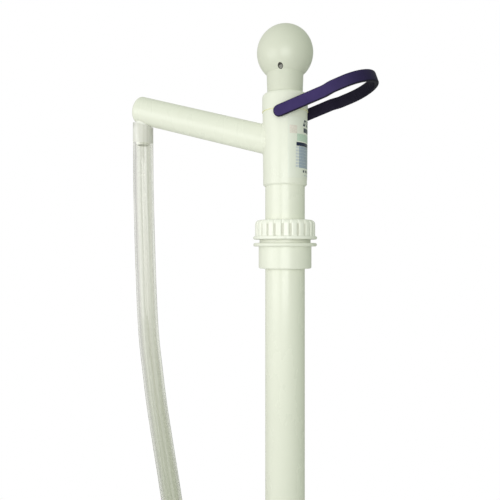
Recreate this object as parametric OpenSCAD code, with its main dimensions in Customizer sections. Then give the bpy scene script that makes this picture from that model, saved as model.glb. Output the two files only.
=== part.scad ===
// Drum barrel pump: a hand lift pump that screws into a drum's bung.
// Millimetres. Origin at the centre of the underside of the adaptor's flange, +Z up
// along the pump, the spout arm towards -X and the carry loop towards +X.

/* [Suction tube] */
// Outside diameter of the suction tube
tube_od = 42.2; // [34:0.2:52]
// Wall of the suction tube
tube_wall = 3.6; // [2.4:0.1:4.4]
// How far the pump reaches below the flange
reach = 880; // [600:5:1100]

/* [Drum adaptor] */
// Length of the plug that enters the drum's bung
plug_len = 23.3; // [16:0.1:32]
// Wall of the plug around the tube
plug_wall = 6.6; // [4:0.1:9]
// Rounding of the plug's lower edge
plug_round = 1.5; // [0.5:0.1:2.5]
// Thickness of the flange
flange_t = 3.7; // [2.5:0.1:6]
// How far the flange stands out from the threaded stem
flange_lip = 6.6; // [4:0.1:10]
// Height of the threaded stem above the flange
stem_h = 13.3; // [12:0.1:18]
// Wall of the stem at its mouth
stem_wall = 1.85; // [1.5:0.05:3]

/* [Clamp nut] */
// Height of the clamp nut
nut_h = 20.6; // [19:0.1:28]
// Gap between the flange and the nut
nut_lift = 3.7; // [1:0.1:6]
// Wall of the nut around the stem
nut_wall = 4.55; // [4:0.05:7]
// Height of the nut's roof
nut_roof = 6.2; // [4:0.1:8]
// Rounding of the nut's shoulder
nut_shoulder = 4.5; // [2:0.1:5.5]
// Thickness of the ring round the foot of the nut
nut_ring_t = 3.6; // [2.5:0.1:5]
// How far that ring stands out
nut_ring_lip = 2.1; // [1:0.1:4]
// Number of grip ribs
rib_count = 24; // [16:1:32]
// Width of the groove between two ribs
rib_gap = 2.2; // [1.2:0.1:2.6]
// Depth of that groove
rib_depth = 1.9; // [1:0.1:2.6]

/* [Outlet tee] */
// Clear height between the nut and the tee
neck_gap = 36.4; // [34:0.1:60]
// Depth of the socket that takes the tube
socket_len = 31; // [20:0.5:45]
// Wall of the tee around the tube, at its foot
tee_wall = 2.15; // [1.6:0.05:4]
// How much the tee's radius grows towards its top
tee_taper = 0.65; // [0:0.05:1.5]
// Chamfer at the tee's foot
tee_chamfer = 1.2; // [0.4:0.1:2]
// Land between the arm's port and what is above and below it
port_land = 2.9; // [1:0.1:6]

/* [Spout arm] */
// Outside diameter of the spout arm
arm_od = 31; // [24:0.5:38]
// Wall of the spout arm
arm_wall = 3; // [2:0.1:4]
// How steeply the arm rises
arm_rise = 15.7; // [8:0.1:20]
// Distance from the pump's axis to the hose
spout_reach = 167; // [110:1:210]
// Distance from the hose's axis to the spout's closed end
spout_end = 7.5; // [7:0.5:20]
// Length of the moulded elbow that ends the arm
elbow_len = 25; // [24:0.5:40]
// Wall at the elbow's closed end
elbow_wall = 4; // [2:0.1:6]
// Rounding of the elbow's closed end
elbow_round = 6; // [1:0.1:8]
// How far the elbow's sleeve reaches into the arm
sleeve_len = 12; // [6:0.5:20]
// Wall of that sleeve
sleeve_wall = 2; // [1:0.1:3]

/* [Hose] */
// Inside diameter of the hose
hose_id = 17; // [14:0.5:18]
// Wall of the hose
hose_wall = 3; // [1.5:0.1:3.5]
// How far the spigot stands below the arm
spigot_len = 24; // [14:0.5:40]
// Wall of the spigot
spigot_wall = 2.6; // [1.5:0.1:4]

/* [Collar and gland] */
// Height of the collar above the tee
collar_h = 19.4; // [14:0.1:30]
// How far the collar stands out from the tee
collar_step = 0.4; // [0:0.05:2]
// Rounding of the collar's shoulder
collar_round = 4.2; // [1:0.1:5]
// Depth of the collar's plug inside the tee
collar_plug = 12; // [8:0.5:20]
// Wall of the rod's guide bush
bush_wall = 3; // [1.5:0.1:4]
// Height of the rod seal
seal_h = 5; // [3:0.1:7]

/* [Knob and rod] */
// Diameter of the ball knob
knob_d = 60; // [44:0.5:72]
// Height of the ball's centre above the foot of its neck
knob_rise = 43.9; // [36:0.1:60]
// Diameter of the knob's neck at its foot
neck_d_low = 37.7; // [28:0.1:42]
// Diameter of the knob's neck under the ball
neck_d_high = 39.3; // [28:0.1:42]
// Diameter of the plunger rod
rod_d = 14; // [10:0.5:16]
// Travel of the plunger
stroke = 390; // [200:5:450]
// Diameter of the knob's set screw
screw_d = 4.2; // [3:0.1:7]
// Height of the set screw below the ball's centre
screw_drop = 20.1; // [10:0.1:22]
// How deep the set screw sits below the ball's surface
screw_sunk = 3; // [1:0.1:5]

/* [Piston] */
// Height of the piston
piston_h = 16; // [12:0.5:24]
// Height of the piston's seal
cup_h = 5; // [3:0.1:7]
// Radial width of the piston's seal
cup_w = 2.3; // [1.5:0.1:2.6]
// Number of holes through the piston
piston_holes = 6; // [4:1:8]
// Thickness of the rubber valve disc
flap_t = 2; // [1:0.1:3]
// Lift of the valve disc
flap_lift = 4; // [2:0.1:6]
// Height of the stop collar above the disc
stop_h = 18; // [10:0.5:30]
// Wall of the stop collar
stop_wall = 4; // [2:0.1:4.5]

/* [Foot valve] */
// Thickness of the foot valve's lip
lip_t = 6; // [5:0.1:9]
// Depth of the lip below the valve's seat
seat_rise = 6; // [3:0.1:10]
// Diameter of the valve ball
ball_d = 19; // [14:0.5:19.5]
// Diameter of the hole under the ball
inlet_d = 14; // [10:0.5:14]
// Gap round the ball
ball_gap = 1.5; // [1:0.1:1.8]
// Lift of the ball
ball_lift = 5; // [3:0.1:8]
// Diameter of the pin that stops the ball
stop_pin_d = 3; // [2:0.1:4]
// Width of the inlet slots in the lip
slot_w = 7; // [4:0.1:9]

/* [Carry loop] */
// Height of the loop's band
bail_h = 12.6; // [10:0.1:16]
// Thickness of the loop's band
bail_t = 4.5; // [4:0.1:6]
// Angle of the loop above level
bail_tilt = 19.3; // [0:0.1:30]
// How far the loop swings up from there
bail_up = 46; // [20:1:46]
// Gap between the loop's eyes and the collar
bail_gap = 0.65; // [0.4:0.05:2]
// Gap between the raised loop and the path of the ball
ball_room = 5; // [2:0.1:15]
// Half width of the loop's wide part, to the middle of its band
loop_half = 31; // [30:0.1:40]
// Where the loop starts to widen, from its pivot
jog_start = 47; // [26:0.5:50]
// Length over which it widens
jog_len = 12; // [8:0.5:16]
// Height of the pivot below the top of the tee
pivot_drop = 4.1; // [4:0.1:7]
// Diameter of the pivot pins
pin_d = 5; // [3:0.1:6]

/* [Label] */
// Height of the label
label_h = 63; // [30:0.5:68]
// Height of the label's lower edge above the tee's foot
label_low = 6.6; // [3:0.1:10]
// Angle that the label covers
label_arc = 142; // [40:1:170]
// Thickness of the label
label_t = 0.25; // [0.2:0.05:0.5]

/* [Hidden] */
// Fits and clearances
run_fit = 0.05;      // radial clearance of a sliding seal or rod
glue_fit = 0.05;     // radial clearance of a glued socket
bore_gap = 0.4;      // around the tube inside the adaptor
thread_gap = 0.2;    // between the stem and the nut
face_gap = 0.3;      // between flat faces that move apart
collet_gap = 0.3;    // around the grip ring
film_gap = 0.02;     // under the label
round_fn = 96;

// Suction tube and adaptor, radii and heights
tube_r = tube_od / 2;
bore_r = tube_r - tube_wall;
plug_r = tube_r + bore_gap + plug_wall;
ring_cord = 3.5;
pocket_r = tube_r + ring_cord + 0.15;
pocket_h = ring_cord + 0.1;
cone_grow = 0.65;
cone_r = pocket_r + cone_grow;
stem_r = cone_r + stem_wall;
stem_top = flange_t + stem_h;
collet_proud = 2;
collet_h = 7.2;
collet_top = stem_top + collet_proud;
collet_low = collet_top - collet_h;
pocket_z = collet_low - face_gap - pocket_h;
collet_slit = 3;
washer_t = 2;
washer_z = collet_top + face_gap;
flange_r = stem_r + flange_lip;

// Clamp nut
nut_z = flange_t + nut_lift;
nut_top = nut_z + nut_h;
nut_in_r = stem_r + thread_gap;
nut_r = nut_in_r + nut_wall;
nut_ring_r = nut_r + nut_ring_lip;
nut_hole_r = tube_r + bore_gap + 0.1;
roof_z = nut_top - nut_roof;

// Outlet tee, arm and collar
tee_z = nut_top + neck_gap;
tube_top = tee_z + socket_len;
tee_r_low = tube_r + tee_wall;
tee_r_top = tee_r_low + tee_taper;
arm_r = arm_od / 2;
arm_in_r = arm_r - arm_wall;
arm_axis_z = tube_top + port_land + arm_r / cos(arm_rise) - bore_r * tan(arm_rise);
port_top = arm_axis_z + bore_r * tan(arm_rise) + arm_r / cos(arm_rise);
collar_plug_z = port_top + 0.5;
tee_top = collar_plug_z + collar_plug;
collar_r = tee_r_top + collar_step;
collar_top = tee_top + collar_h;
elbow_in_r = arm_in_r - sleeve_wall;
arm_len = (spout_reach + spout_end) / cos(arm_rise) - elbow_len;
spout_z = arm_axis_z + spout_reach * tan(arm_rise);
spout_under_z = spout_z - arm_r / cos(arm_rise);
spigot_r = hose_id / 2;
spigot_low = spout_under_z - spigot_len;

// Gland
rod_r = rod_d / 2;
bush_r = rod_r + bush_wall;
bush_h = collar_plug + 3;
seal_z = collar_plug_z + bush_h;

// Knob
neck_z = collar_top + face_gap;
knob_r = knob_d / 2;
knob_z = neck_z + knob_rise;
screw_z = knob_z - screw_drop;
screw_y = sqrt(knob_r * knob_r - screw_drop * screw_drop);
rod_top = knob_z + 2;

// Piston, from the stop collar down
stop_top = collar_plug_z - stroke - face_gap;
stop_z = stop_top - stop_h;
flap_z = stop_z - flap_lift - flap_t;
piston_top = flap_z - 0.05;
piston_z = piston_top - piston_h;
piston_r = bore_r - 0.25;
cup_r = bore_r - run_fit;
cup_in_r = cup_r - cup_w;
cup_z = piston_z + (piston_h - cup_h) / 2;
port_in_r = rod_r + 1.6;
port_out_r = cup_in_r - 0.9;
port_d = port_out_r - port_in_r;
flap_r = port_out_r + 0.6;

// Foot valve, from the foot up
foot_z = -reach;
tube_low = foot_z + lip_t;
foot_r = bore_r - glue_fit;
ball_r = ball_d / 2;
cage_r = ball_r + ball_gap;
inlet_r = inlet_d / 2;
seat_z = tube_low + seat_rise;
ball_z = seat_z + sqrt(ball_r * ball_r - inlet_r * inlet_r) + 0.15;
stop_pin_z = ball_z + ball_r + ball_lift + face_gap + stop_pin_d / 2;
foot_top = stop_pin_z + stop_pin_d / 2 + 3;

// Carry loop, in its own plane: x runs out from the pivot, y across
pivot_z = tee_top - pivot_drop;
eye_r = bail_h / 2;
eye_y = collar_r + bail_gap + bail_t / 2;
raised = bail_tilt + bail_up;
loop_end = (knob_r + ball_room + eye_r * sin(raised)) / cos(raised) + bail_t / 2;
loop_x = loop_end - loop_half;
eye_depth = bail_t - 2;
pin_in = bore_r + 1;
pin_out = eye_y - bail_t / 2 + eye_depth - 0.3;

// Hose route, chosen by hand
hose_r = hose_id / 2 + hose_wall;
hose_sides = 12;
hose_route = [
    [-167, 0, 136], [-167, 0, 115], [-166.5, 0, 65], [-165, 0, 10], [-163, 0, -45],
    [-160, 0, -100], [-155, 0, -142], [-149, -1, -182], [-142, -1, -223],
    [-134, -2, -265], [-126, -2, -315], [-120, -3, -370], [-116, -3, -430],
    [-114, -3, -490], [-114, -2, -550], [-115, -2, -610], [-117, -1, -670],
    [-119, 0, -730], [-121, 0, -790], [-122, 0, -850]
];

PVC = [0.93, 0.94, 0.88];
SEAL = [0.12, 0.12, 0.13];
STEEL = [0.72, 0.73, 0.75];

// A plain ring standing on z
module ring(r_out, r_in, z, h) {
    translate([0, 0, z])
        difference() {
            cylinder(r = r_out, h = h, $fn = round_fn);
            translate([0, 0, -1])
                cylinder(r = r_in, h = h + 2, $fn = round_fn);
        }
}

// Half profile of a disc with a fully rounded rim
module disc_profile(r, z, t) {
    translate([0, z])
        square([r - t / 2, t]);
    translate([r - t / 2, z + t / 2])
        circle(d = t, $fn = 48);
}

// Half profile of a bar whose upper edge is rounded
module shoulder_profile(r, z, h, round_r) {
    translate([0, z])
        square([r, h - round_r]);
    translate([0, z])
        square([r - round_r, h]);
    translate([r - round_r, z + h - round_r])
        intersection() {
            circle(r = round_r, $fn = 64);
            square(round_r);
        }
}

// Everything inside stands along the spout arm, with z = 0 on the pump's axis
module along_arm() {
    translate([0, 0, arm_axis_z])
        rotate([0, arm_rise - 90, 0])
            children();
}

// Everything inside stands on both sides of the pump, pointing outwards along the pivot
module both_pivots(y) {
    for (side = [-1, 1])
        translate([0, side * y, pivot_z])
            rotate([-side * 90, 0, 0])
                children();
}

module bung_adaptor() {
    color(PVC)
        rotate_extrude($fn = round_fn)
            difference() {
                union() {
                    mirror([0, 1])
                        shoulder_profile(plug_r, 0, plug_len, plug_round);
                    disc_profile(flange_r, 0, flange_t);
                    square([stem_r, stem_top]);
                }
                translate([0, -plug_len - 1])
                    square([tube_r + bore_gap, plug_len + stem_top + 2]);
                translate([0, pocket_z])
                    square([pocket_r, stem_top - pocket_z + 1]);
                polygon([[0, collet_low], [pocket_r, collet_low], [cone_r, stem_top],
                    [cone_r, stem_top + 1], [0, stem_top + 1]]);
            }
}

module tube_seal() {
    color(SEAL)
        rotate_extrude($fn = round_fn)
            translate([tube_r + run_fit + ring_cord / 2, pocket_z + pocket_h / 2])
                circle(d = ring_cord, $fn = 32);
}

module grip_ring() {
    low_r = pocket_r - collet_gap;
    high_r = cone_r - collet_gap;
    color([0.80, 0.82, 0.78])
        difference() {
            rotate_extrude($fn = round_fn)
                polygon([[tube_r + run_fit, collet_low], [low_r, collet_low],
                    [high_r, stem_top], [high_r, collet_top],
                    [tube_r + run_fit, collet_top]]);
            translate([0, -collet_slit / 2, collet_low - 1])
                cube([cone_r + 1, collet_slit, collet_h + 2]);
        }
}

module thrust_washer() {
    color(STEEL)
        ring(stem_r - 0.5, tube_r + bore_gap, washer_z, washer_t);
}

module clamp_nut() {
    color(PVC)
        difference() {
            rotate_extrude($fn = round_fn)
                difference() {
                    union() {
                        disc_profile(nut_ring_r, nut_z, nut_ring_t);
                        shoulder_profile(nut_r, nut_z, nut_h, nut_shoulder);
                    }
                    translate([0, nut_z - 1])
                        square([nut_in_r, roof_z - nut_z + 1]);
                    translate([0, nut_z])
                        square([nut_hole_r, nut_h + 1]);
                }
            for (i = [0 : rib_count - 1])
                rotate([0, 0, (i + 0.5) * 360 / rib_count])
                    translate([nut_r - rib_depth, -rib_gap / 2, nut_z + nut_ring_t])
                        cube([rib_depth + 1, rib_gap, nut_h]);
        }
}

module suction_tube() {
    color(PVC)
        ring(tube_r, bore_r, tube_low, tube_top - tube_low);
}

module outlet_tee() {
    color(PVC)
        difference() {
            rotate_extrude($fn = round_fn)
                difference() {
                    polygon([[0, tee_z], [tee_r_low - tee_chamfer, tee_z],
                        [tee_r_low, tee_z + tee_chamfer], [tee_r_top, tee_top],
                        [0, tee_top]]);
                    translate([0, tee_z - 1])
                        square([tube_r + glue_fit, socket_len + 1]);
                    translate([0, tee_z - 1])
                        square([bore_r, tee_top - tee_z + 2]);
                }
            along_arm()
                cylinder(r = arm_r + glue_fit, h = tee_r_top * 2, $fn = round_fn);
            both_pivots(pin_in)
                cylinder(d = pin_d, h = tee_r_top, $fn = 48);
        }
}

module spout_arm() {
    color(PVC)
        difference() {
            along_arm()
                difference() {
                    cylinder(r = arm_r, h = arm_len, $fn = round_fn);
                    translate([0, 0, -1])
                        cylinder(r = arm_in_r, h = arm_len + 2, $fn = round_fn);
                }
            translate([0, 0, tee_z])
                cylinder(r = bore_r, h = tee_top - tee_z, $fn = round_fn);
        }
}

// The passage inside the elbow
module elbow_bore() {
    along_arm()
        translate([0, 0, arm_len - sleeve_len - 1])
            cylinder(r = elbow_in_r, h = sleeve_len + elbow_len - elbow_wall + 1, $fn = round_fn);
}

module spout_elbow() {
    color(PVC)
        difference() {
            along_arm()
                rotate_extrude($fn = round_fn) {
                    shoulder_profile(arm_r, arm_len, elbow_len, elbow_round);
                    translate([0, arm_len - sleeve_len])
                        square([arm_in_r - glue_fit, sleeve_len + 1]);
                }
            elbow_bore();
            translate([-spout_reach, 0, spout_under_z - arm_r])
                cylinder(r = spigot_r + glue_fit, h = spout_z - spout_under_z + arm_r,
                    $fn = round_fn);
        }
}

module hose_spigot() {
    bevel = 1;
    color(PVC)
        difference() {
            translate([-spout_reach, 0, 0])
                rotate_extrude($fn = round_fn)
                    polygon([[spigot_r - spigot_wall, spigot_low],
                        [spigot_r - bevel, spigot_low],
                        [spigot_r, spigot_low + 2 * bevel], [spigot_r, spout_z],
                        [spigot_r - spigot_wall, spout_z]]);
            elbow_bore();
        }
}

// Direction of the route at point i, from its neighbours
function heading(route, i) =
    let (a = route[max(i - 1, 0)], b = route[min(i + 1, len(route) - 1)])
    (b - a) / norm(b - a);

// One ring of points round the route, set square to it
function hose_ring(route, i, r) =
    let (t = heading(route, i), u0 = cross(t, [0, 1, 0]), u = u0 / norm(u0), v = cross(t, u))
    [for (k = [0 : hose_sides - 1])
        let (a = 360 * k / hose_sides) route[i] + r * (u * cos(a) + v * sin(a))];

// A hollow tube swept along the route, its inner and outer walls joined at both ends
module swept_tube(route, r_out, r_in) {
    n = len(route);
    s = hose_sides;
    outer = [for (i = [0 : n - 1]) each hose_ring(route, i, r_out)];
    inner = [for (i = [0 : n - 1]) each hose_ring(route, i, r_in)];
    base = n * s;
    faces = [
        for (i = [0 : n - 2], k = [0 : s - 1])
            let (a = i * s + k, b = i * s + (k + 1) % s) each [
                [a, a + s, b + s], [a, b + s, b],
                [base + a, base + b, base + b + s], [base + a, base + b + s, base + a + s]
            ],
        for (k = [0 : s - 1])
            let (a = k, b = (k + 1) % s, e = (n - 1) * s) each [
                [a, b, base + b], [a, base + b, base + a],
                [e + a, base + e + a, base + e + b], [e + a, base + e + b, e + b]
            ]
    ];
    polyhedron(points = concat(outer, inner), faces = faces, convexity = 6);
}

module discharge_hose() {
    // The flats of the inner wall stay clear of the round spigot
    inner_r = (spigot_r + run_fit) / cos(180 / hose_sides);
    color([0.80, 0.86, 0.84, 0.5])
        swept_tube(hose_route, hose_r, inner_r);
}

module label() {
    slope = tee_taper / (tee_top - tee_z - tee_chamfer);
    low = tee_z + label_low;
    r_low = tee_r_low + slope * (label_low - tee_chamfer) + film_gap;
    r_high = r_low + slope * label_h;
    color([0.80, 0.86, 0.92])
        rotate([0, 0, -label_arc / 2])
            rotate_extrude(angle = label_arc, $fn = round_fn)
                polygon([[r_low, low], [r_low + label_t, low],
                    [r_high + label_t, low + label_h], [r_high, low + label_h]]);
}

module top_collar() {
    color(PVC)
        rotate_extrude($fn = round_fn)
            difference() {
                union() {
                    shoulder_profile(collar_r, tee_top, collar_h, collar_round);
                    translate([0, collar_plug_z])
                        square([bore_r - glue_fit, collar_plug]);
                }
                translate([0, collar_plug_z - 1])
                    square([bush_r + glue_fit, bush_h + seal_h + 1]);
                translate([0, collar_plug_z])
                    square([rod_r + 0.3, collar_top]);
            }
}

module guide_bush() {
    color([0.85, 0.83, 0.72])
        ring(bush_r, rod_r + run_fit, collar_plug_z, bush_h);
}

module rod_seal() {
    color(SEAL)
        ring(bush_r, rod_r + run_fit, seal_z, seal_h);
}

module bail_pins() {
    color(STEEL)
        both_pivots(pin_in)
            cylinder(d = pin_d, h = pin_out - pin_in, $fn = 48);
}

// Half width of the loop's centre line where it widens, at a distance x from its pivot
function loop_y(x) =
    eye_y + (loop_half - eye_y) * (1 - cos(180 * (x - jog_start) / jog_len)) / 2;

// Points of one side of the loop, then of its round end
jog_steps = 8;
end_steps = 24;
loop_side = concat(
    [[-eye_r, eye_y]],
    [for (i = [0 : jog_steps]) let (x = jog_start + jog_len * i / jog_steps) [x, loop_y(x)]]);
loop_line = concat(
    loop_side,
    [for (i = [0 : end_steps])
        let (a = 90 - 180 * i / end_steps) [loop_x + loop_half * cos(a), loop_half * sin(a)]],
    [for (i = [len(loop_side) - 1 : -1 : 0]) [loop_side[i][0], -loop_side[i][1]]]);

// The loop's centre line moved sideways by d, away from the pump for a positive d
function shifted(line, d) = [
    for (i = [0 : len(line) - 1])
        let (t = heading(line, i)) line[i] + d * [-t[1], t[0]]
];

module carry_bail() {
    outer = shifted(loop_line, bail_t / 2);
    inner = shifted(loop_line, -bail_t / 2);
    color([0.24, 0.16, 0.42])
        translate([0, 0, pivot_z])
            rotate([0, -bail_tilt, 0])
                difference() {
                    intersection() {
                        translate([0, 0, -bail_h / 2])
                            linear_extrude(height = bail_h)
                                polygon(concat(outer,
                                    [for (i = [len(inner) - 1 : -1 : 0]) inner[i]]));
                        rotate([90, 0, 0])
                            translate([0, 0, -loop_half - bail_t])
                                linear_extrude(height = 2 * (loop_half + bail_t)) {
                                    circle(r = eye_r, $fn = 64);
                                    translate([0, -eye_r])
                                        square([loop_end + bail_t, bail_h]);
                                }
                    }
                    for (side = [-1, 1])
                        translate([0, side * (eye_y - bail_t / 2 - 1), 0])
                            rotate([-side * 90, 0, 0])
                                cylinder(r = pin_d / 2 + run_fit, h = eye_depth + 1, $fn = 48);
                }
}

module ball_knob() {
    color(PVC)
        difference() {
            union() {
                translate([0, 0, knob_z])
                    sphere(r = knob_r, $fn = round_fn);
                translate([0, 0, neck_z])
                    cylinder(d1 = neck_d_low, d2 = neck_d_high, h = knob_rise / 2, $fn = round_fn);
            }
            translate([0, 0, neck_z - 1])
                cylinder(r = rod_r + glue_fit, h = rod_top - neck_z + 1, $fn = round_fn);
            translate([0, -knob_r, screw_z])
                rotate([-90, 0, 0])
                    cylinder(d = screw_d, h = knob_r, $fn = 48);
        }
}

module knob_set_screw() {
    key = screw_d / 2;
    color(STEEL)
        difference() {
            translate([0, -screw_y + screw_sunk, screw_z])
                rotate([-90, 0, 0])
                    cylinder(d = screw_d, h = screw_y - screw_sunk - rod_r - glue_fit, $fn = 48);
            translate([0, -screw_y + screw_sunk - 1, screw_z])
                rotate([-90, 0, 0])
                    cylinder(d = key, h = 3, $fn = 6);
        }
}

module plunger_rod() {
    color([0.86, 0.87, 0.84])
        translate([0, 0, piston_z])
            cylinder(r = rod_r, h = rod_top - piston_z, $fn = round_fn);
}

module stop_collar() {
    color([0.85, 0.83, 0.72])
        ring(rod_r + stop_wall, rod_r, stop_z, stop_h);
}

module piston_valve() {
    color(SEAL)
        ring(flap_r, rod_r + 0.3, flap_z, flap_t);
}

module piston_body() {
    color([0.85, 0.83, 0.72])
        difference() {
            ring(piston_r, rod_r, piston_z, piston_h);
            translate([0, 0, cup_z])
                difference() {
                    cylinder(r = piston_r + 1, h = cup_h + 0.1, $fn = round_fn);
                    translate([0, 0, -1])
                        cylinder(r = cup_in_r - run_fit, h = cup_h + 3, $fn = round_fn);
                }
            for (i = [0 : piston_holes - 1])
                rotate([0, 0, i * 360 / piston_holes])
                    translate([(port_in_r + port_out_r) / 2, 0, piston_z - 1])
                        cylinder(d = port_d, h = piston_h + 2, $fn = 48);
        }
}

module piston_seal() {
    color(SEAL)
        ring(cup_r, cup_in_r, cup_z + 0.05, cup_h);
}

module foot_valve_body() {
    color(PVC)
        difference() {
            union() {
                ring(tube_r, inlet_r, foot_z, lip_t);
                ring(foot_r, inlet_r, tube_low - 0.5, seat_z - tube_low + 0.5);
                ring(foot_r, cage_r, seat_z - 0.5, foot_top - seat_z + 0.5);
            }
            for (a = [0, 90])
                rotate([0, 0, a])
                    translate([-tube_r - 1, -slot_w / 2, foot_z - 1])
                        cube([2 * tube_r + 2, slot_w, lip_t - 1]);
            translate([-tube_r, 0, stop_pin_z])
                rotate([0, 90, 0])
                    cylinder(d = stop_pin_d, h = 2 * tube_r, $fn = 32);
        }
}

module foot_valve_ball() {
    color([0.55, 0.56, 0.58])
        translate([0, 0, ball_z])
            sphere(r = ball_r, $fn = 64);
}

module ball_stop_pin() {
    color(STEEL)
        translate([0.3 - foot_r, 0, stop_pin_z])
            rotate([0, 90, 0])
                cylinder(d = stop_pin_d, h = 2 * (foot_r - 0.3), $fn = 32);
}

bung_adaptor();
tube_seal();
grip_ring();
thrust_washer();
clamp_nut();
suction_tube();
outlet_tee();
spout_arm();
spout_elbow();
hose_spigot();
discharge_hose();
label();
top_collar();
guide_bush();
rod_seal();
bail_pins();
carry_bail();
ball_knob();
knob_set_screw();
plunger_rod();
stop_collar();
piston_valve();
piston_body();
piston_seal();
foot_valve_body();
foot_valve_ball();
ball_stop_pin();
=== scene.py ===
"""Looks of the drum barrel pump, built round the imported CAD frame. Metres, +Z up along the pump."""
import math

import bmesh
import bpy
from mathutils import Matrix, Vector


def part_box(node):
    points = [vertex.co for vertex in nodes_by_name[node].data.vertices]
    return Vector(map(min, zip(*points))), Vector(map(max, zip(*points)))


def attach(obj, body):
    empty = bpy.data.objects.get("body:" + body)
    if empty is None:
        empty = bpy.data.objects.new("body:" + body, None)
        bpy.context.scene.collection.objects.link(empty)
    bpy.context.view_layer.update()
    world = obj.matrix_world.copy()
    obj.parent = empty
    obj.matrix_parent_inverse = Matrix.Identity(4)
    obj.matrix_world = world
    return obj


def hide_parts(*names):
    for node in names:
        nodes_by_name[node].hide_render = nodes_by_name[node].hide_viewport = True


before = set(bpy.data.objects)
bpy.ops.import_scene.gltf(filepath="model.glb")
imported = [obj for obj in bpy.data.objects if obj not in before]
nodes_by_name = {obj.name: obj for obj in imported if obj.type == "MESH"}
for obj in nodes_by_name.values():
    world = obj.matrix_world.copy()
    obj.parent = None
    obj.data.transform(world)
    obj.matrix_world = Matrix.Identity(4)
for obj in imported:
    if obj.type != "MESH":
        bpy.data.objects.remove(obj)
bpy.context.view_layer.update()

MM = 0.001
scene = bpy.context.scene


# ---------------------------------------------------------------- camera

CAM_TURN = math.radians(16)       # seen from a little to the carry loop's side
CAM_DISTANCE = 588 * MM
CAM_ASIDE = 37.4 * MM
CAM_HEIGHT = -1.6 * MM
CAM_LENS = 39.6
CAM_SENSOR = 36
CAM_CLIP = 20
CAM_SHIFT_Y = -0.004


def make_camera():
    data = bpy.data.cameras.new("camera")
    data.lens = CAM_LENS
    data.sensor_width = CAM_SENSOR
    data.clip_end = CAM_CLIP
    data.shift_y = CAM_SHIFT_Y
    camera = bpy.data.objects.new("camera", data)
    scene.collection.objects.link(camera)
    away = Vector((math.sin(CAM_TURN), -math.cos(CAM_TURN), 0))
    aside = Vector((-math.cos(CAM_TURN), -math.sin(CAM_TURN), 0))
    camera.location = CAM_DISTANCE * away + CAM_ASIDE * aside + Vector((0, 0, CAM_HEIGHT))
    camera.rotation_euler = (math.pi / 2, 0, CAM_TURN)
    scene.camera = camera


make_camera()


# ---------------------------------------------------------------- mesh helpers

def mesh_object(name, points, faces, body, smooth=True):
    """A new mesh piece that rides on a CAD body."""
    mesh = bpy.data.meshes.new(name)
    mesh.from_pydata([tuple(p) for p in points], [], faces)
    form = bmesh.new()
    form.from_mesh(mesh)
    if form.calc_volume(signed=True) < 0:
        bmesh.ops.reverse_faces(form, faces=form.faces)
    form.to_mesh(mesh)
    form.free()
    mesh.polygons.foreach_set("use_smooth", [smooth] * len(mesh.polygons))
    obj = bpy.data.objects.new(name, mesh)
    scene.collection.objects.link(obj)
    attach(obj, body)
    return obj


def ring_faces(rings, sides, closed_path=False):
    """Quads between neighbouring closed rings of points."""
    faces = []
    last = rings if closed_path else rings - 1
    for i in range(last):
        a, b = i * sides, (i + 1) % rings * sides
        for k in range(sides):
            n = (k + 1) % sides
            faces.append((a + k, a + n, b + n, b + k))
    return faces


def smooth_route(points, step):
    """A smooth curve through given points, resampled about every step."""
    p = [Vector(q) for q in points]
    p = [2 * p[0] - p[1]] + p + [2 * p[-1] - p[-2]]
    out = []
    for i in range(1, len(p) - 2):
        count = max(2, round((p[i + 1] - p[i]).length / step))
        for k in range(count):
            t = k / count
            out.append(0.5 * (2 * p[i] + (p[i + 1] - p[i - 1]) * t
                              + (2 * p[i - 1] - 5 * p[i] + 4 * p[i + 1] - p[i + 2]) * t ** 2
                              + (3 * p[i] - p[i - 1] - 3 * p[i + 1] + p[i + 2]) * t ** 3))
    return out + [p[-2]]


def heading(path, i):
    return (path[min(i + 1, len(path) - 1)] - path[max(i - 1, 0)]).normalized()


def swept(path, radii, sides):
    """Round rings of points along a path that runs down, one radius for each."""
    across = Vector((0, 1, 0))
    turns = [2 * math.pi * k / sides for k in range(sides)]
    points = []
    for i, centre in enumerate(path):
        ahead = heading(path, i)
        side = (across - across.dot(ahead) * ahead).normalized()
        out = side.cross(ahead)
        points += [centre + radii[i] * (math.cos(t) * side + math.sin(t) * out) for t in turns]
    return points


# ---------------------------------------------------------------- discharge hose

ARM_RISE = math.radians(15.7)
SPOUT_UNDER_Z = 140.3 * MM        # underside of the arm on the hose's axis
HOSE_ARM_GAP = 0.4 * MM
HOSE_R = 11.5 * MM
HOSE_IN_R = 8.6 * MM
HOSE_TIGHT_R = 8.4 * MM           # just under the spigot's radius
HOSE_RIM = 0.5 * MM               # rounding of the cut end
HOSE_RIM_DROP = 0.4               # share of it by which the rim's crest stands lower
HOSE_RIM_FLARE = 0.2              # share of it by which the bore opens at the end
HOSE_SIDES = 40
HOSE_STEP = 7 * MM
HOSE_DRAW = 0.02                  # how far the draw lines' noise moves on from ring to ring
HOSE_ROUTE = [
    (-0.167, 0, 0.136), (-0.167, 0, 0.115), (-0.1665, 0, 0.065), (-0.165, 0, 0.010),
    (-0.163, 0, -0.045), (-0.160, 0, -0.100), (-0.155, 0, -0.142),
    (-0.149, -0.001, -0.182), (-0.142, -0.001, -0.223), (-0.134, -0.002, -0.265),
    (-0.126, -0.002, -0.315), (-0.120, -0.003, -0.370), (-0.116, -0.003, -0.430),
    (-0.114, -0.003, -0.490), (-0.114, -0.002, -0.550), (-0.115, -0.002, -0.610),
    (-0.117, -0.001, -0.670), (-0.119, 0, -0.730), (-0.121, 0, -0.790), (-0.122, 0, -0.850),
]


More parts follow.
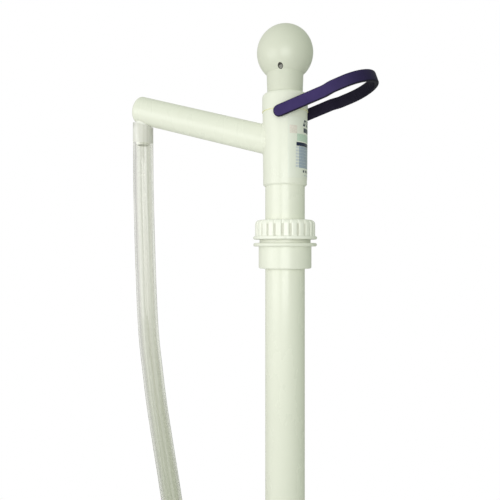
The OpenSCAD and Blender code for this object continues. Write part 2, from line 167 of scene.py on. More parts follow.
def make_hose():
    """A hollow hose: its outer wall down, over the cut rim, and the inner wall back up."""
    path = smooth_route(HOSE_ROUTE, HOSE_STEP)
    n = len(path)
    lowest = path[-1] + (path[-1] - path[-2]).normalized() * HOSE_RIM_DROP * HOSE_RIM
    outer = swept(path + [lowest], [HOSE_R] * n + [HOSE_R - HOSE_RIM], HOSE_SIDES)
    # The hose is stretched over the spigot, so no air shows between the two
    spigot_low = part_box("hose_spigot")[0].z
    bore = [HOSE_TIGHT_R if p.z > spigot_low else HOSE_IN_R for p in path]
    inner = swept(path + [lowest], bore + [HOSE_IN_R + HOSE_RIM_FLARE * HOSE_RIM], HOSE_SIDES)
    # The upper end is cut to lie along the underside of the sloping arm
    for k in range(HOSE_SIDES):
        for p in (outer[k], inner[k]):
            p.z = SPOUT_UNDER_Z - (p.x - HOSE_ROUTE[0][0]) * math.tan(ARM_RISE) - HOSE_ARM_GAP
    rings = [outer[k * HOSE_SIDES:(k + 1) * HOSE_SIDES] for k in range(n + 1)]
    rings += [inner[k * HOSE_SIDES:(k + 1) * HOSE_SIDES] for k in range(n, -1, -1)]
    hose = mesh_object("discharge_hose_clear", [p for ring in rings for p in ring],
                       ring_faces(len(rings), HOSE_SIDES, closed_path=True), "pump")
    # Where a point lies round the hose, and how far down it, for the draw lines and the painted shade
    around = hose.data.attributes.new("around", "FLOAT_VECTOR", "POINT")
    turns = [2 * math.pi * k / HOSE_SIDES for k in range(HOSE_SIDES)]
    places = list(range(n + 1)) + list(range(n, -1, -1))
    around.data.foreach_set("vector", [c for i in places for t in turns
                                       for c in (math.cos(t), math.sin(t), HOSE_DRAW * i)])
    # Clear vinyl lets the light through to the spigot inside it
    hose.visible_shadow = False
    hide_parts("discharge_hose")
    return hose


hose = make_hose()


# ---------------------------------------------------------------- carry loop

PIVOT_Z = 138.9 * MM
LOOP_TILT = math.radians(19.3)
LOOP_H = 12.6 * MM                # height of the band
LOOP_T = 4.5 * MM                 # thickness of the band
LOOP_ROUND = 1.7 * MM             # rounding of its edges
LOOP_TIP_H = 0.5 * MM             # least half height of the band, at the tip of an eye
LOOP_TIP_T = 0.4 * MM             # least half thickness there
ROUND_MOST = 0.98                 # most of a half size that the rounding takes up
EYE_R = LOOP_H / 2
EYE_Y = 27.2 * MM                 # half spacing of the two eyes
LOOP_HALF = 31 * MM               # half width of the wide part
JOG_START = 47 * MM
JOG_LEN = 12 * MM
BEND_STEPS = 48                   # steps round the wide end
OUTER_FROM = 0.35                 # how far out from the band's middle its outer purple begins over the painted shade, as a share of the thickness


def loop_side():
    """One side of the loop in its own plane, from the tip of the eye to the widening's end."""
    tip = [(-EYE_R * math.cos(math.radians(a)), EYE_Y) for a in (0, 6, 12, 20, 30, 42, 55, 70, 90)]
    straight = [(JOG_START * k / 8, EYE_Y) for k in range(1, 8)]
    jog = [(JOG_START + JOG_LEN * k / 16,
            EYE_Y + (LOOP_HALF - EYE_Y) * (1 - math.cos(math.pi * k / 16)) / 2)
           for k in range(17)]
    return tip + straight + jog


def band_section(x):
    """Rounded outline of the band, lower towards the round tip of an eye."""
    half_h = EYE_R
    half_t = LOOP_T / 2
    if x < 0:
        half_h = math.sqrt(max(EYE_R ** 2 - x ** 2, LOOP_TIP_H ** 2))
        from_tip = min((EYE_R + x) / LOOP_ROUND, 1)
        half_t = max(LOOP_T / 2 * math.sqrt(1 - (1 - from_tip) ** 2), LOOP_TIP_T)
    r = min(LOOP_ROUND, half_t * ROUND_MOST, half_h * ROUND_MOST)
    corners = ((1, 1, 0), (-1, 1, 90), (-1, -1, 180), (1, -1, 270))
    return [(sx * (half_t - r) + r * math.cos(math.radians(a0 + a)),
             sy * (half_h - r) + r * math.sin(math.radians(a0 + a)))
            for sx, sy, a0 in corners for a in (0, 18, 36, 54, 72, 90)]


def make_loop(loop_end):
    side = loop_side()
    middle_x = loop_end - LOOP_HALF
    bend = [(middle_x + LOOP_HALF * math.cos(math.radians(90 - 180 * k / BEND_STEPS)),
             LOOP_HALF * math.sin(math.radians(90 - 180 * k / BEND_STEPS)))
            for k in range(BEND_STEPS + 1)]
    line = side + bend + [(x, -y) for x, y in reversed(side)]
    points, outer_face = [], []
    sides = len(band_section(0))
    for i, (x, y) in enumerate(line):
        x0, y0 = line[max(i - 1, 0)]
        x1, y1 = line[min(i + 1, len(line) - 1)]
        ahead = Vector((x1 - x0, y1 - y0)).normalized()
        for out, up in band_section(x):
            points.append(Vector((x - ahead.y * out, y + ahead.x * out, up)))
            outer_face.append(max(0.0, (out - OUTER_FROM * LOOP_T) / ((0.5 - OUTER_FROM) * LOOP_T)))
    turn = Matrix.Translation((0, 0, PIVOT_Z)) @ Matrix.Rotation(-LOOP_TILT, 4, "Y")
    points = [turn @ p for p in points]
    faces = ring_faces(len(line), sides)
    faces.append(tuple(range(sides - 1, -1, -1)))
    faces.append(tuple(range(len(points) - sides, len(points))))
    loop = mesh_object("carry_loop", points, faces, "bail")
    shade = loop.data.attributes.new("outer_face", "FLOAT", "POINT")
    shade.data.foreach_set("value", outer_face)
    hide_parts("carry_bail")
    return loop


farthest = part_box("carry_bail")[1].x
loop = make_loop((farthest - EYE_R * math.sin(LOOP_TILT)) / math.cos(LOOP_TILT) - LOOP_T / 2)


# ---------------------------------------------------------------- clamp nut

NUT_RIBS = 24
NUT_GROOVE = 2.5 * MM
NUT_GROOVE_DEPTH = 2.4 * MM
NUT_EDGE = 0.45 * MM              # rounding of the ribs' edges
NUT_WALL = 4.55 * MM
NUT_ROOF = 6.2 * MM
NUT_SHOULDER = 4.5 * MM
NUT_RING_T = 3.6 * MM
NUT_RING_LIP = 2.1 * MM
NUT_HOLE_R = 21.6 * MM
NUT_FILLET = 0.4 * MM
NUT_BETWEEN = (0.35, 0.5, 0.65)   # points on the rib between two grooves, as shares of the pitch
GATE_TURN = math.radians(-75)     # where the mould's gate left its nick
GATE_NICK = 0.9 * MM
GATE_WIDTH = 0.5 * MM


def arc(cx, cz, r, start, stop, count):
    """Points on an arc in the profile's plane, angles in degrees."""
    turns = [math.radians(start + (stop - start) * k / count) for k in range(count + 1)]
    return [(cx + r * math.cos(t), cz + r * math.sin(t)) for t in turns]


def nut_profile(ring_r, z0, z1):
    """Closed outline of the nut, from its foot outwards and up. Ribs start after the ring."""
    wall_r = ring_r - NUT_RING_LIP
    in_r = wall_r - NUT_WALL
    half = NUT_RING_T / 2
    small = NUT_FILLET
    ring = [(in_r + small, z0)] + arc(ring_r - half, z0 + half, half, -90, 90, 12)
    ring.append((wall_r + small, z0 + NUT_RING_T))
    wall = arc(wall_r + small, z0 + NUT_RING_T + small, small, 270, 180, 3)[1:]
    straight = z1 - NUT_SHOULDER - z0 - NUT_RING_T - small
    wall += [(wall_r, z0 + NUT_RING_T + small + straight * k / 5) for k in range(1, 5)]
    wall += arc(wall_r - NUT_SHOULDER, z1 - NUT_SHOULDER, NUT_SHOULDER, 0, 90, 14)
    roof = [(NUT_HOLE_R + 2 * small, z1), (NUT_HOLE_R, z1 - 2 * small),
            (NUT_HOLE_R, z1 - NUT_ROOF)]
    inside = [(in_r, z1 - NUT_ROOF), (in_r, z0 + small)]
    return ring, wall, roof + inside


def make_nut():
    lo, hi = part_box("clamp_nut")
    ring_r = (hi.x - lo.x) / 2
    wall_r = ring_r - NUT_RING_LIP
    ring, wall, rest = nut_profile(ring_r, lo.z, hi.z)
    pitch = 2 * math.pi / NUT_RIBS
    half = NUT_GROOVE / 2
    stops = [-half - NUT_EDGE, -half - 0.5 * NUT_EDGE, -half, -half + 0.3 * NUT_EDGE, -0.3 * half,
             0.3 * half, half - 0.3 * NUT_EDGE, half, half + 0.5 * NUT_EDGE, half + NUT_EDGE]
    offsets = [s / wall_r for s in stops] + [pitch * share for share in NUT_BETWEEN]
    points = []
    for rib in range(NUT_RIBS):
        for offset in offsets:
            turn = (rib + 0.5) * pitch + offset
            from_groove = abs((offset + pitch / 2) % pitch - pitch / 2) * wall_r
            rise = min(max((from_groove - half + 0.3 * NUT_EDGE) / (1.3 * NUT_EDGE), 0), 1)
            depth = NUT_GROOVE_DEPTH
            if rise:
                depth *= 1 - math.sqrt(1 - (1 - rise) ** 2)
            limit = wall_r - depth
            from_gate = abs((turn - GATE_TURN + math.pi) % (2 * math.pi) - math.pi) * ring_r
            nick = GATE_NICK * math.exp(-(from_gate / GATE_WIDTH) ** 2)
            outline = [(r - nick if r > wall_r + NUT_RING_LIP / 2 else r, z) for r, z in ring]
            outline += [(min(r, limit), z) for r, z in wall] + rest
            points += [Vector((r * math.cos(turn), r * math.sin(turn), z)) for r, z in outline]
    columns = NUT_RIBS * len(offsets)
    nut = mesh_object("clamp_nut_ribbed", points,
                      ring_faces(columns, len(points) // columns, closed_path=True),
                      "nut")
    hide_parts("clamp_nut")
    return nut


nut = make_nut()


# ---------------------------------------------------------------- solvent-weld beads

TEE_FOOT_R = 23.25 * MM
TEE_TOP_R = 23.9 * MM
ARM_R = 15.5 * MM
ARM_AXIS_Z = 109.48 * MM
BEAD_SIDES = 10
BEAD_PROUD = 0.1 * MM
COLLAR_BEAD_R = 0.45 * MM
ARM_BEAD_R = 1.1 * MM
FOOT_BEAD_R = 0.4 * MM
FOOT_BEAD_PATH_R = 21.25 * MM     # the bead runs in the corner between tube and tee
REACH_ROUNDS = 8                  # rounds in which the arm's reach to the tee's wall settles


def bead(name, path, radius, body):
    """A thin closed bead of set cement along a closed path, a little uneven."""
    points = []
    count = len(path)
    for i, p in enumerate(path):
        ahead = (path[(i + 1) % count] - path[i - 1]).normalized()
        out = Vector((p.x, p.y, 0)).normalized()
        side = ahead.cross(out).normalized()
        out = side.cross(ahead)
        r = radius * (1 + 0.22 * math.sin(5.3 * i) * math.sin(0.37 * i + 1)
                      + 0.1 * math.sin(1.9 * i))
        for k in range(BEAD_SIDES):
            t = 2 * math.pi * k / BEAD_SIDES
            points.append(p + r * (math.cos(t) * out + math.sin(t) * side))
    return mesh_object(name, points, ring_faces(count, BEAD_SIDES, closed_path=True), body)


def circle_path(r, z, count):
    turns = [2 * math.pi * i / count for i in range(count)]
    return [Vector((r * math.cos(t), r * math.sin(t), z)) for t in turns]


def arm_joint_path(count):
    """Where the arm's round wall meets the tee's wall."""
    along = Vector((-math.cos(ARM_RISE), 0, math.sin(ARM_RISE)))
    up = Vector((math.sin(ARM_RISE), 0, math.cos(ARM_RISE)))
    start = Vector((0, 0, ARM_AXIS_Z))
    lo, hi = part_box("outlet_tee")
    path = []
    for i in range(count):
        t = 2 * math.pi * i / count
        across = ARM_R * (math.sin(t) * Vector((0, 1, 0)) + math.cos(t) * up)
        reach = 0.0
        for _ in range(REACH_ROUNDS):
            p = start + across + reach * along
            r = TEE_FOOT_R + (TEE_TOP_R - TEE_FOOT_R) * (p.z - lo.z) / (hi.z - lo.z)
            reach = (math.sqrt(r ** 2 - p.y ** 2) + across.x) / -along.x
        path.append(start + across + reach * along)
    return path


tee_low, tee_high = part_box("outlet_tee")
collar_bead = bead("collar_cement_bead", circle_path(TEE_TOP_R + BEAD_PROUD, tee_high.z, 180),
                   COLLAR_BEAD_R, "pump")
arm_bead = bead("arm_cement_fillet", arm_joint_path(120), ARM_BEAD_R, "pump")
foot_bead = bead("tee_foot_cement_bead", circle_path(FOOT_BEAD_PATH_R, tee_low.z, 160),
                 FOOT_BEAD_R, "pump")


# ---------------------------------------------------------------- print on the label

LABEL_T = 0.25 * MM
PRINT_GAP = 0.02 * MM
PRINT_T = 0.05 * MM
PRINT_STEP = 3                    # degrees between points along a block
ROWS = 7
ROWS_LOW = 81.4                   # mm
ROWS_H = 22.4


def label_radius(z):
    """Radius of the label's outer face, which follows the tee's slight taper."""
    share = (z - tee_low.z) / (tee_high.z - tee_low.z)
    return TEE_FOOT_R + (TEE_TOP_R - TEE_FOOT_R) * share + LABEL_T + PRINT_GAP


def patch(start, stop, z0, z1, ink, slant=0.0):
    """A printed block: start and stop angle in degrees, heights in mm, ink, slant in degrees."""
    return {"turn": (start, stop), "z": (z0 * MM, z1 * MM), "ink": ink, "slant": slant}


def print_layout():
    """Generic blocks, bars and rows. No lettering."""
    blocks = [patch(-48, 48, 104.0, 107.8, "navy")]
    blocks += [patch(-27 + 15 * k, -17 + 15 * k, 125.2, 131.8, "slate", slant=6) for k in range(4)]
    blocks += [patch(-24, 24, 118.6, 123.2, "slate")]
    blocks += [patch(-66, -46, 116.6, 125, "blush"), patch(46, 66, 116.6, 125, "blush")]
    blocks += [patch(-46, 46, 109, 116.5, "mint")]
    row_h = ROWS_H / ROWS
    for k in range(ROWS):
        z0 = ROWS_LOW + row_h * k
        blocks.append(patch(-40, 46, z0 + 0.1, z0 + row_h - 0.1, "greyblue"))
        blocks.append(patch(-50, -41, z0 + 0.5, z0 + row_h - 0.5, "palegrey"))
    blocks += [patch(-26 + 11 * k, -20 + 11 * k, 77.0, 79.4, "slate") for k in range(5)]
    blocks += [patch(-20, 20, 73.6, 74.6, "palegrey")]
    return blocks


def make_print(inks):
    points, faces, face_ink = [], [], []
    for block in print_layout():
        start, stop = block["turn"]
        z0, z1 = block["z"]
        count = max(2, round((stop - start) / PRINT_STEP))
        base = len(points)
        for i in range(count + 1):
            for z, lean in ((z0, 0.0), (z1, block["slant"])):
                t = math.radians(start + (stop - start) * i / count + lean)
                for r in (label_radius(z), label_radius(z) + PRINT_T):
                    points.append(Vector((r * math.cos(t), r * math.sin(t), z)))
        new = []
        for i in range(count):
            a, b = base + 4 * i, base + 4 * (i + 1)
            new += [(a + 1, b + 1, b + 3, a + 3), (a, a + 2, b + 2, b),
                    (a, b, b + 1, a + 1), (a + 2, a + 3, b + 3, b + 2)]
        end = base + 4 * count
        new += [(base, base + 1, base + 3, base + 2), (end, end + 2, end + 3, end + 1)]
        faces += new
        face_ink += [list(inks).index(block["ink"])] * len(new)
    sheet = mesh_object("label_print", points, faces, "pump", smooth=False)
    for material in inks.values():
        sheet.data.materials.append(material)
    sheet.data.polygons.foreach_set("material_index", face_ink)


# ---------------------------------------------------------------- materials

class Nodes:
    """Short ways to build one material's node tree."""

    def __init__(self, name):
        self.material = bpy.data.materials.new(name)
        self.material.use_nodes = True
        self.tree = self.material.node_tree
        self.shader = self.tree.nodes["Principled BSDF"]
        self.coords = self.tree.nodes.new("ShaderNodeTexCoord").outputs["Object"]

    def set(self, **values):
        for key, value in values.items():
            self.shader.inputs[key.replace("_", " ")].default_value = value

    def link(self, source, target):
        self.tree.links.new(source, target)

    def stretched(self, scale):
        node = self.tree.nodes.new("ShaderNodeMapping")
        node.inputs["Scale"].default_value = scale
        self.link(self.coords, node.inputs["Vector"])
        return node.outputs["Vector"]

    def noise(self, scale, detail=2.0, stretch=(1, 1, 1), rough=0.5):
        node = self.tree.nodes.new("ShaderNodeTexNoise")
        node.inputs["Scale"].default_value = scale
        node.inputs["Detail"].default_value = detail
        node.inputs["Roughness"].default_value = rough
        self.link(self.stretched(stretch), node.inputs["Vector"])
        return node.outputs["Fac"]

    def ramp(self, fac, low, high, at=(0.3, 0.7)):
        node = self.tree.nodes.new("ShaderNodeValToRGB")
        for stop, place, colour in zip(node.color_ramp.elements, at, (low, high)):
            stop.position = place
            stop.color = (*colour, 1)
        self.link(fac, node.inputs["Fac"])
        return node.outputs["Color"]

    def map(self, fac, low, high, source=(0.3, 0.7)):
        node = self.tree.nodes.new("ShaderNodeMapRange")
        for key, value in zip(("From Min", "From Max", "To Min", "To Max"), (*source, low, high)):
            node.inputs[key].default_value = value
        self.link(fac, node.inputs["Value"])
        return node.outputs["Result"]

    def math(self, operation, a, b=0.0):
        node = self.tree.nodes.new("ShaderNodeMath")
        node.operation = operation
        for socket, value in zip(node.inputs, (a, b)):
            if isinstance(value, (int, float)):
                socket.default_value = value
            else:
                self.link(value, socket)
        return node.outputs["Value"]

    def distance(self, a, b):
        """Length of the side opposite a right angle between a and b."""
        return self.math("SQRT", self.math("ADD", self.math("MULTIPLY", a, a),
                                           self.math("MULTIPLY", b, b)))

    def mix(self, fac, a, b):
        """Colour a, or colour b where fac is 1. Each is a socket or a colour."""
        node = self.tree.nodes.new("ShaderNodeMix")
        node.data_type = "RGBA"
        self.link(fac, node.inputs[0])
        for socket, value in zip((node.inputs[6], node.inputs[7]), (a, b)):
            if isinstance(value, tuple):
                socket.default_value = (*value, 1)
            else:
                self.link(value, socket)
        return node.outputs[2]

    def place(self):
        node = self.tree.nodes.new("ShaderNodeSeparateXYZ")
        self.link(self.coords, node.inputs[0])
        return node.outputs

    def bump(self, height, strength, distance=0.1 * MM, under=None):
        node = self.tree.nodes.new("ShaderNodeBump")
        node.inputs["Strength"].default_value = strength
        node.inputs["Distance"].default_value = distance
        self.link(height, node.inputs["Height"])
        if under:
            self.link(under, node.inputs["Normal"])
        return node.outputs["Normal"]

    def finish(self, colour=None, rough=None, normal=None):
        for name, socket in (("Base Color", colour), ("Roughness", rough), ("Normal", normal)):
            if socket:
                self.link(socket, self.shader.inputs[name])
        return self.material


def tinted(colour, factor):
    return tuple(c * factor for c in colour)


PVC = (0.87, 0.885, 0.785)
PVC_SCUFFED = (0.80, 0.80, 0.68)


def pipe_pvc():
    """Extruded pipe: fine draw lines along its length, faint mottling, a few dull scuffs."""
    n = Nodes("pvc_pipe")
    n.set(Specular_IOR_Level=0.5, Coat_Weight=0.15, Coat_Roughness=0.12)
    lines = n.noise(900, 1.0, (1, 1, 0.004))
    peel = n.noise(700, 2.0)
    scuffs = n.noise(38, 5.0, (1, 1, 0.35), 0.6)
    colour = n.ramp(n.noise(14, 3.0), tinted(PVC, 0.975), PVC)
    colour = n.mix(n.map(scuffs, 0, 0.35, (0.60, 0.72)), colour, PVC_SCUFFED)
    rough = n.map(scuffs, 0.24, 0.40, (0.45, 0.75))
    normal = n.bump(peel, 0.10, under=n.bump(lines, 0.12))
    return n.finish(colour, rough, normal)


def moulded_pvc(name, colour):
    """Moulded fitting: softly mottled, slight flow marks, a finely uneven skin."""
    n = Nodes(name)
    n.set(Specular_IOR_Level=0.5, Coat_Weight=0.1, Coat_Roughness=0.15)
    flow = n.noise(30, 4.0, (1, 1, 0.6), 0.55)
    tone = n.ramp(flow, tinted(colour, 0.965), colour)
    peel = n.noise(850, 3.0)
    waves = n.noise(120, 1.0)
    normal = n.bump(peel, 0.12, under=n.bump(waves, 0.10, 0.2 * MM))
    return n.finish(tone, n.map(flow, 0.26, 0.36), normal)


# Painted shade that darkens the nut's grooves
GROOVE_SHADE = (0.72, 0.725, 0.64)
GROOVE_SHADE_TOP = 0.4                   # share of a groove's depth at which its painted shade ends


def nut_plastic():
    """The nut's plastic, brighter than the other fittings, with painted shade in its grooves."""
    n = Nodes("nut_pvc")
    n.set(Specular_IOR_Level=0.5, Coat_Weight=0.1, Coat_Roughness=0.15)
    base = (0.95, 0.96, 0.885)
    flow = n.noise(30, 4.0, (1, 1, 0.6), 0.55)
    x, y, z = n.place()
    radius = n.distance(x, y)
    lo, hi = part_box("clamp_nut")
    wall_r = (hi.x - lo.x) / 2 - NUT_RING_LIP
    # Painted shade: the groove floors below the roof turn darker
    deep = n.map(radius, 1, 0, (wall_r - NUT_GROOVE_DEPTH, wall_r - GROOVE_SHADE_TOP * NUT_GROOVE_DEPTH))
    below_roof = n.math("LESS_THAN", z, hi.z - NUT_SHOULDER)
    tone = n.mix(n.math("MULTIPLY", deep, below_roof), n.ramp(flow, tinted(base, 0.97), base),
                 GROOVE_SHADE)
    return n.finish(tone, n.map(flow, 0.22, 0.32), n.bump(n.noise(850, 3.0), 0.12))


KNOB_HOLE_R = 2.72 * MM           # painted shade fills the screw hole and darkens its rim
KNOB_SEAM = 0.35 * MM


def knob_plastic():
    """The moulded ball, with painted shade in its screw hole and a faint parting line."""
    n = Nodes("knob_plastic")
    n.set(Specular_IOR_Level=0.5, Coat_Weight=0.1, Coat_Roughness=0.15)
    base = (0.75, 0.77, 0.665)
    flow = n.noise(34, 4.0, (1, 1, 1), 0.55)
    tone = n.ramp(flow, tinted(base, 0.965), base)
    x, y, z = n.place()
    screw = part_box("knob_set_screw")
    screw_z = (screw[0].z + screw[1].z) / 2
    from_axis = n.distance(x, n.math("SUBTRACT", z, screw_z))
    # Painted shade: near black in the front of the screw hole and on its rim
    hole = n.math("MULTIPLY", n.math("LESS_THAN", from_axis, KNOB_HOLE_R),
                  n.math("LESS_THAN", y, 0.0))
    tone = n.mix(hole, tone, (0.035, 0.033, 0.025))
    seam = n.map(n.math("ABSOLUTE", y), 1.0, 0.0, (0.0, KNOB_SEAM))
    peel = n.noise(850, 3.0)
    normal = n.bump(seam, 0.35, 0.1 * MM, under=n.bump(peel, 0.10))
    return n.finish(tone, n.map(flow, 0.27, 0.36), normal)


def clear_vinyl():
    """Soft clear hose: slightly cloudy, with draw lines all along it, and painted shade on its right
    half, its left edge and further down.
    """
    n = Nodes("clear_vinyl")
    n.set(Transmission_Weight=1.0, IOR=1.45, Specular_IOR_Level=0.5)
    cloud = n.noise(26, 3.0, (1, 1, 0.3))
    around = n.tree.nodes.new("ShaderNodeAttribute")
    around.attribute_name = "around"
    n.coords = around.outputs["Vector"]
    lines = n.noise(3.4, 3.0, (1, 1, 0.2), 0.62)
    # Of the attribute: which side of the hose a point is on, and how far down it
    _, side, down = n.place()
    # Lit and painted-shade tones of the same draw lines
    thin = n.ramp(lines, (0.88, 0.885, 0.85), (1.0, 1.0, 0.99), (0.42, 0.53))
    shaded_lines = n.ramp(lines, (0.63, 0.64, 0.575), (0.84, 0.85, 0.81), (0.38, 0.62))
    # Painted shade: the darker tone on the hose's right half and left edge
    wall = n.math("ADD", n.map(side, 0, 1, (0.12, -0.06)), n.map(side, 0, 0.7, (0.55, 0.95)))
    tone = n.mix(wall, thin, shaded_lines)
    # Painted shade: the hose turns greyer further down
    tone = n.mix(n.map(down, 0, 0.55, (0.5, 1.2)), tone, (0.56, 0.59, 0.50))
    return n.finish(tone, n.map(cloud, 0.03, 0.07), n.bump(lines, 0.55, 0.5 * MM))


LOOP_SHADE_SPAN = (40 * MM, 112 * MM)   # where along X painted shade turns the loop near black


def loop_plastic():
    """Satin purple plastic with a fine moulded grain, and painted shade that turns it near black on
    its edges, inside and towards its far end.
    """
    n = Nodes("loop_plastic")
    n.set(Specular_IOR_Level=0.15)
    wear = n.noise(55, 5.0, (1, 1, 1), 0.65)
    purple = n.ramp(wear, (0.035, 0.022, 0.108), (0.052, 0.034, 0.140))
    shaded_purple = n.ramp(wear, (0.010, 0.007, 0.024), (0.017, 0.012, 0.036))
    side = n.tree.nodes.new("ShaderNodeAttribute")
    side.attribute_name = "outer_face"
    # Painted shade: near black on the band's edges and inner face, purple on its outer face
    tone = n.mix(n.map(side.outputs["Fac"], 0.0, 1.0, (0.25, 0.9)), shaded_purple, purple)
    # Painted shade: near black towards the loop's far end
    tone = n.mix(n.map(n.place()[0], 0, 0.85, LOOP_SHADE_SPAN), tone, (0.006, 0.006, 0.012))
    grain = n.noise(1600, 3.0)
    pits = n.noise(320, 2.0)
    normal = n.bump(grain, 0.35, 0.08 * MM, under=n.bump(pits, 0.18, 0.1 * MM))
    return n.finish(tone, n.map(wear, 0.50, 0.64), normal)


def label_film():
    """Off-white printed film, glossier than the tee under it."""
    n = Nodes("label_film")
    n.set(Coat_Weight=0.4, Coat_Roughness=0.1)
    fade = n.noise(45, 2.0)
    tone = n.ramp(fade, (0.83, 0.855, 0.775), (0.855, 0.875, 0.80))
    return n.finish(tone, n.map(fade, 0.28, 0.36), n.bump(n.noise(500, 2.0), 0.08))


def ink(name, colour):
    """Printing ink, a little uneven where it lies thin."""
    n = Nodes("ink_" + name)
    n.set(Coat_Weight=0.4, Coat_Roughness=0.12)
    cover = n.noise(900, 3.0)
    tone = n.ramp(cover, tinted(colour, 0.88), tinted(colour, 1.08))
    return n.finish(tone, n.map(cover, 0.3, 0.42), n.bump(cover, 0.05, 0.02 * MM))


def cement():
    """Set solvent cement, yellowed and uneven."""
    n = Nodes("yellowed_cement")
    n.set(Coat_Weight=0.3, Coat_Roughness=0.1, Subsurface_Weight=0.1, Subsurface_Scale=0.5 * MM)
    age = n.noise(160, 3.0)
    tone = n.ramp(age, (0.70, 0.70, 0.33), (0.83, 0.83, 0.52))
    return n.finish(tone, n.map(age, 0.2, 0.35), n.bump(n.noise(700, 2.0), 0.3))


def rubber():
    """Black nitrile, dull and finely pitted, with a dusty bloom."""
    n = Nodes("nitrile")
    bloom = n.noise(90, 4.0)
    tone = n.ramp(bloom, (0.018, 0.018, 0.020), (0.045, 0.045, 0.047))
    return n.finish(tone, n.map(bloom, 0.55, 0.75), n.bump(n.noise(1500, 3.0), 0.25))


def acetal():
    """Natural acetal with turning marks."""
    n = Nodes("natural_acetal")
    tone = n.ramp(n.noise(60, 3.0), (0.72, 0.69, 0.56), (0.80, 0.77, 0.65))
    marks = n.noise(1200, 1.0, (0.02, 0.02, 1))
    return n.finish(tone, n.map(marks, 0.34, 0.46), n.bump(marks, 0.2))


def steel(name, colour, rough, stretch, metallic=1.0):
    """Stainless steel with fine marks in one direction."""
    n = Nodes(name)
    n.set(Metallic=metallic)
    marks = n.noise(1400, 3.0, stretch)
    tone = n.ramp(n.noise(150, 3.0), tinted(colour, 0.85), colour)
    return n.finish(tone, n.map(marks, rough, rough + 0.14), n.bump(marks, 0.15, 0.03 * MM))


inks = {
    "navy": ink("navy", (0.004, 0.010, 0.055)),
    "slate": ink("slate", (0.045, 0.060, 0.095)),
    "blush": ink("blush", (0.83, 0.77, 0.71)),
    "mint": ink("mint", (0.58, 0.73, 0.62)),
    "greyblue": ink("greyblue", (0.37, 0.44, 0.55)),
    "palegrey": ink("palegrey", (0.66, 0.70, 0.74)),
}
make_print(inks)

FITTING = (0.875, 0.89, 0.795)
pipe = pipe_pvc()
fitting = moulded_pvc("moulded_pvc", FITTING)
nut_pvc = nut_plastic()
spigot = moulded_pvc("spigot_pvc", (0.96, 0.965, 0.91))
knob = knob_plastic()
seal = rubber()
inner = acetal()
brushed = steel("brushed_stainless", (0.58, 0.59, 0.60), 0.26, (1, 1, 0.03))
screw_steel = steel("dull_zinc_steel", (0.68, 0.68, 0.63), 0.42, (1, 0.1, 1), 0.5)
polished = steel("polished_stainless", (0.66, 0.67, 0.68), 0.10, (1, 1, 1))

FINISHES = {
    "bung_adaptor": fitting, "tube_seal": seal, "grip_ring": inner, "thrust_washer": brushed,
    "clamp_nut": nut_pvc, "suction_tube": pipe, "outlet_tee": fitting, "spout_arm": pipe,
    "spout_elbow": pipe, "hose_spigot": spigot, "label": label_film(), "top_collar": fitting,
    "guide_bush": inner, "rod_seal": seal, "bail_pins": brushed, "ball_knob": knob,
    "knob_set_screw": screw_steel, "plunger_rod": pipe, "stop_collar": inner,
    "piston_valve": seal, "piston_body": inner, "piston_seal": seal,
    "foot_valve_body": fitting, "foot_valve_ball": polished, "ball_stop_pin": brushed,
}


def paint(obj, material):
    obj.data.materials.clear()
    obj.data.materials.append(material)


for name, obj in nodes_by_name.items():
    paint(obj, FINISHES.get(name, fitting))
paint(hose, clear_vinyl())
paint(loop, loop_plastic())
paint(nut, nut_pvc)
paint(arm_bead, fitting)
paint(collar_bead, cement())
paint(foot_bead, fitting)


# ---------------------------------------------------------------- studio

FLOOR_GAP = 30 * MM               # the foot hangs clear of the floor, as it does in a drum
FLOOR_R = 1.35
FLOOR_FADE = (0.5, 0.99)          # shares of the radius between which the floor fades out
WASH_ENERGY = 0.7
WASH_ANGLE = math.radians(35)
FILL_LEFT = (0.565, 0.58, 0.53)
FILL_RIGHT = (0.30, 0.34, 0.27)
FILL_SIDES = (-0.7, 0.9)          # directions along X between which the fill changes
FILL_ABOVE = 1.5                  # times as bright straight above as at eye level
# Brightness seen through the hose, from the left to the right
BEHIND = ((0.0, 0.56), (0.22, 1.0), (0.58, 1.0), (0.85, 0.52))
BEHIND_TINT = 0.97                # its blue, as a share of its red and green
BEHIND_DEPTH = (-0.6, 0.2)        # directions along Y between which its share changes
BEHIND_FRONT = 0.66               # share of it on the front side, where the lights stand
BEHIND_BACK = 1.1                 # share of it on the far side
BOX_DISTANCE = 0.7
BOX_HEIGHT = 0.045


def make_floor():
    """A pale round floor that fades out towards its rim."""
    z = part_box("foot_valve_body")[0].z - FLOOR_GAP
    rings, sides = 12, 96
    points = [Vector((0, 0, z))]
    for i in range(1, rings + 1):
        points += circle_path(FLOOR_R * i / rings, z, sides)
    faces = [(0, 1 + k, 1 + (k + 1) % sides) for k in range(sides)]
    for i in range(rings - 1):
        a, b = 1 + i * sides, 1 + (i + 1) * sides
        faces += [(a + k, b + k, b + (k + 1) % sides, a + (k + 1) % sides) for k in range(sides)]
    mesh = bpy.data.meshes.new("floor")
    mesh.from_pydata([tuple(p) for p in points], [], faces)
    floor = bpy.data.objects.new("floor", mesh)
    scene.collection.objects.link(floor)
    n = Nodes("studio_floor")
    grain = n.noise(6, 4.0)
    x, y, _ = n.place()
    fade = n.map(n.distance(x, y), 1, 0, tuple(share * FLOOR_R for share in FLOOR_FADE))
    n.link(fade, n.shader.inputs["Alpha"])
    paint(floor, n.finish(n.ramp(grain, (0.83, 0.83, 0.82), (0.87, 0.87, 0.86)),
                          n.map(grain, 0.5, 0.6), n.bump(n.noise(200, 3.0), 0.05)))
    return floor


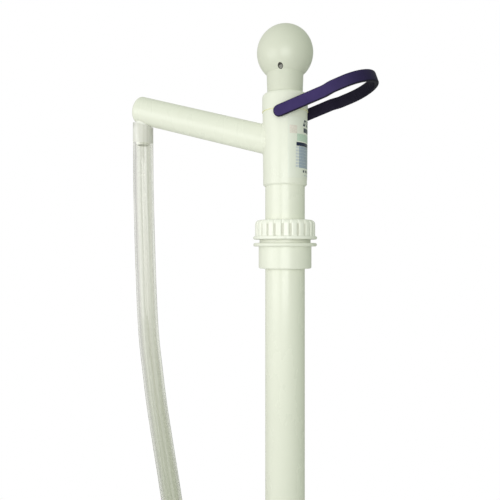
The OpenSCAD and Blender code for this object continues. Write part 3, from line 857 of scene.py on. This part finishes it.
def make_world():
    """White where the camera looks past the pump, and a soft fill that is darker on the right."""
    world = bpy.data.worlds.new("studio")
    scene.world = world
    world.use_nodes = True
    tree = world.node_tree
    tree.nodes.clear()
    new, link = tree.nodes.new, tree.links.new

    def span(value, source, target=(0.0, 1.0)):
        """The value mapped from one range to another."""
        node = new("ShaderNodeMapRange")
        for key, number in zip(("From Min", "From Max", "To Min", "To Max"), source + target):
            node.inputs[key].default_value = number
        link(value, node.inputs["Value"])
        return node.outputs["Result"]

    coords = new("ShaderNodeTexCoord")
    split = new("ShaderNodeSeparateXYZ")
    link(coords.outputs["Generated"], split.inputs[0])
    blend = new("ShaderNodeMix")
    blend.data_type = "RGBA"
    blend.inputs[6].default_value = (*FILL_LEFT, 1)
    blend.inputs[7].default_value = (*FILL_RIGHT, 1)
    link(span(split.outputs["X"], FILL_SIDES), blend.inputs[0])
    fill = new("ShaderNodeBackground")
    link(blend.outputs[2], fill.inputs["Color"])
    link(span(split.outputs["Z"], (0.0, 1.0), (1.0, FILL_ABOVE)), fill.inputs["Strength"])
    ramp = new("ShaderNodeValToRGB")
    stops = ramp.color_ramp.elements
    while len(stops) < len(BEHIND):
        stops.new(1.0)
    for stop, (place, level) in zip(stops, BEHIND):
        stop.position = place
        stop.color = (level, level, level * BEHIND_TINT, 1)
    link(span(split.outputs["X"], (-1.0, 1.0)), ramp.inputs["Fac"])
    behind = new("ShaderNodeBackground")
    link(ramp.outputs["Color"], behind.inputs["Color"])
    link(span(split.outputs["Y"], BEHIND_DEPTH, (BEHIND_FRONT, BEHIND_BACK)),
         behind.inputs["Strength"])
    white = new("ShaderNodeBackground")
    white.inputs["Color"].default_value = (1, 1, 1, 1)
    path = new("ShaderNodeLightPath")
    through = new("ShaderNodeMixShader")
    link(path.outputs["Is Transmission Ray"], through.inputs[0])
    link(fill.outputs[0], through.inputs[1])
    link(behind.outputs[0], through.inputs[2])
    seen = new("ShaderNodeMixShader")
    link(path.outputs["Is Camera Ray"], seen.inputs[0])
    link(through.outputs[0], seen.inputs[1])
    link(white.outputs[0], seen.inputs[2])
    out = new("ShaderNodeOutputWorld")
    link(seen.outputs[0], out.inputs[0])


def softbox(name, azimuth, width, tall, watts):
    """An upright softbox that faces the pump's axis. Azimuth 0 is in front, less is left."""
    data = bpy.data.lights.new(name, "AREA")
    data.shape = "RECTANGLE"
    data.size = width
    data.size_y = tall
    data.energy = watts
    light = bpy.data.objects.new(name, data)
    scene.collection.objects.link(light)
    a = math.radians(azimuth)
    light.location = (BOX_DISTANCE * math.sin(a), -BOX_DISTANCE * math.cos(a), BOX_HEIGHT)
    light.rotation_euler = (math.pi / 2, 0, a)
    # Seen straight through the clear hose, a softbox would hide it
    light.visible_camera = False
    light.visible_transmission = False


def floor_wash(floor):
    """Soft light from straight above that falls on the floor only."""
    data = bpy.data.lights.new("floor_wash", "SUN")
    data.energy = WASH_ENERGY
    data.angle = WASH_ANGLE
    light = bpy.data.objects.new("floor_wash", data)
    scene.collection.objects.link(light)
    lit = bpy.data.collections.new("floor_only")
    lit.objects.link(floor)
    light.light_linking.receiver_collection = lit


floor_wash(make_floor())
make_world()
softbox("key_left", -42, width=0.56, tall=0.4, watts=1.08)
softbox("front_fill", 14, width=0.46, tall=0.36, watts=1.78)
scene.view_settings.view_transform = "Standard"
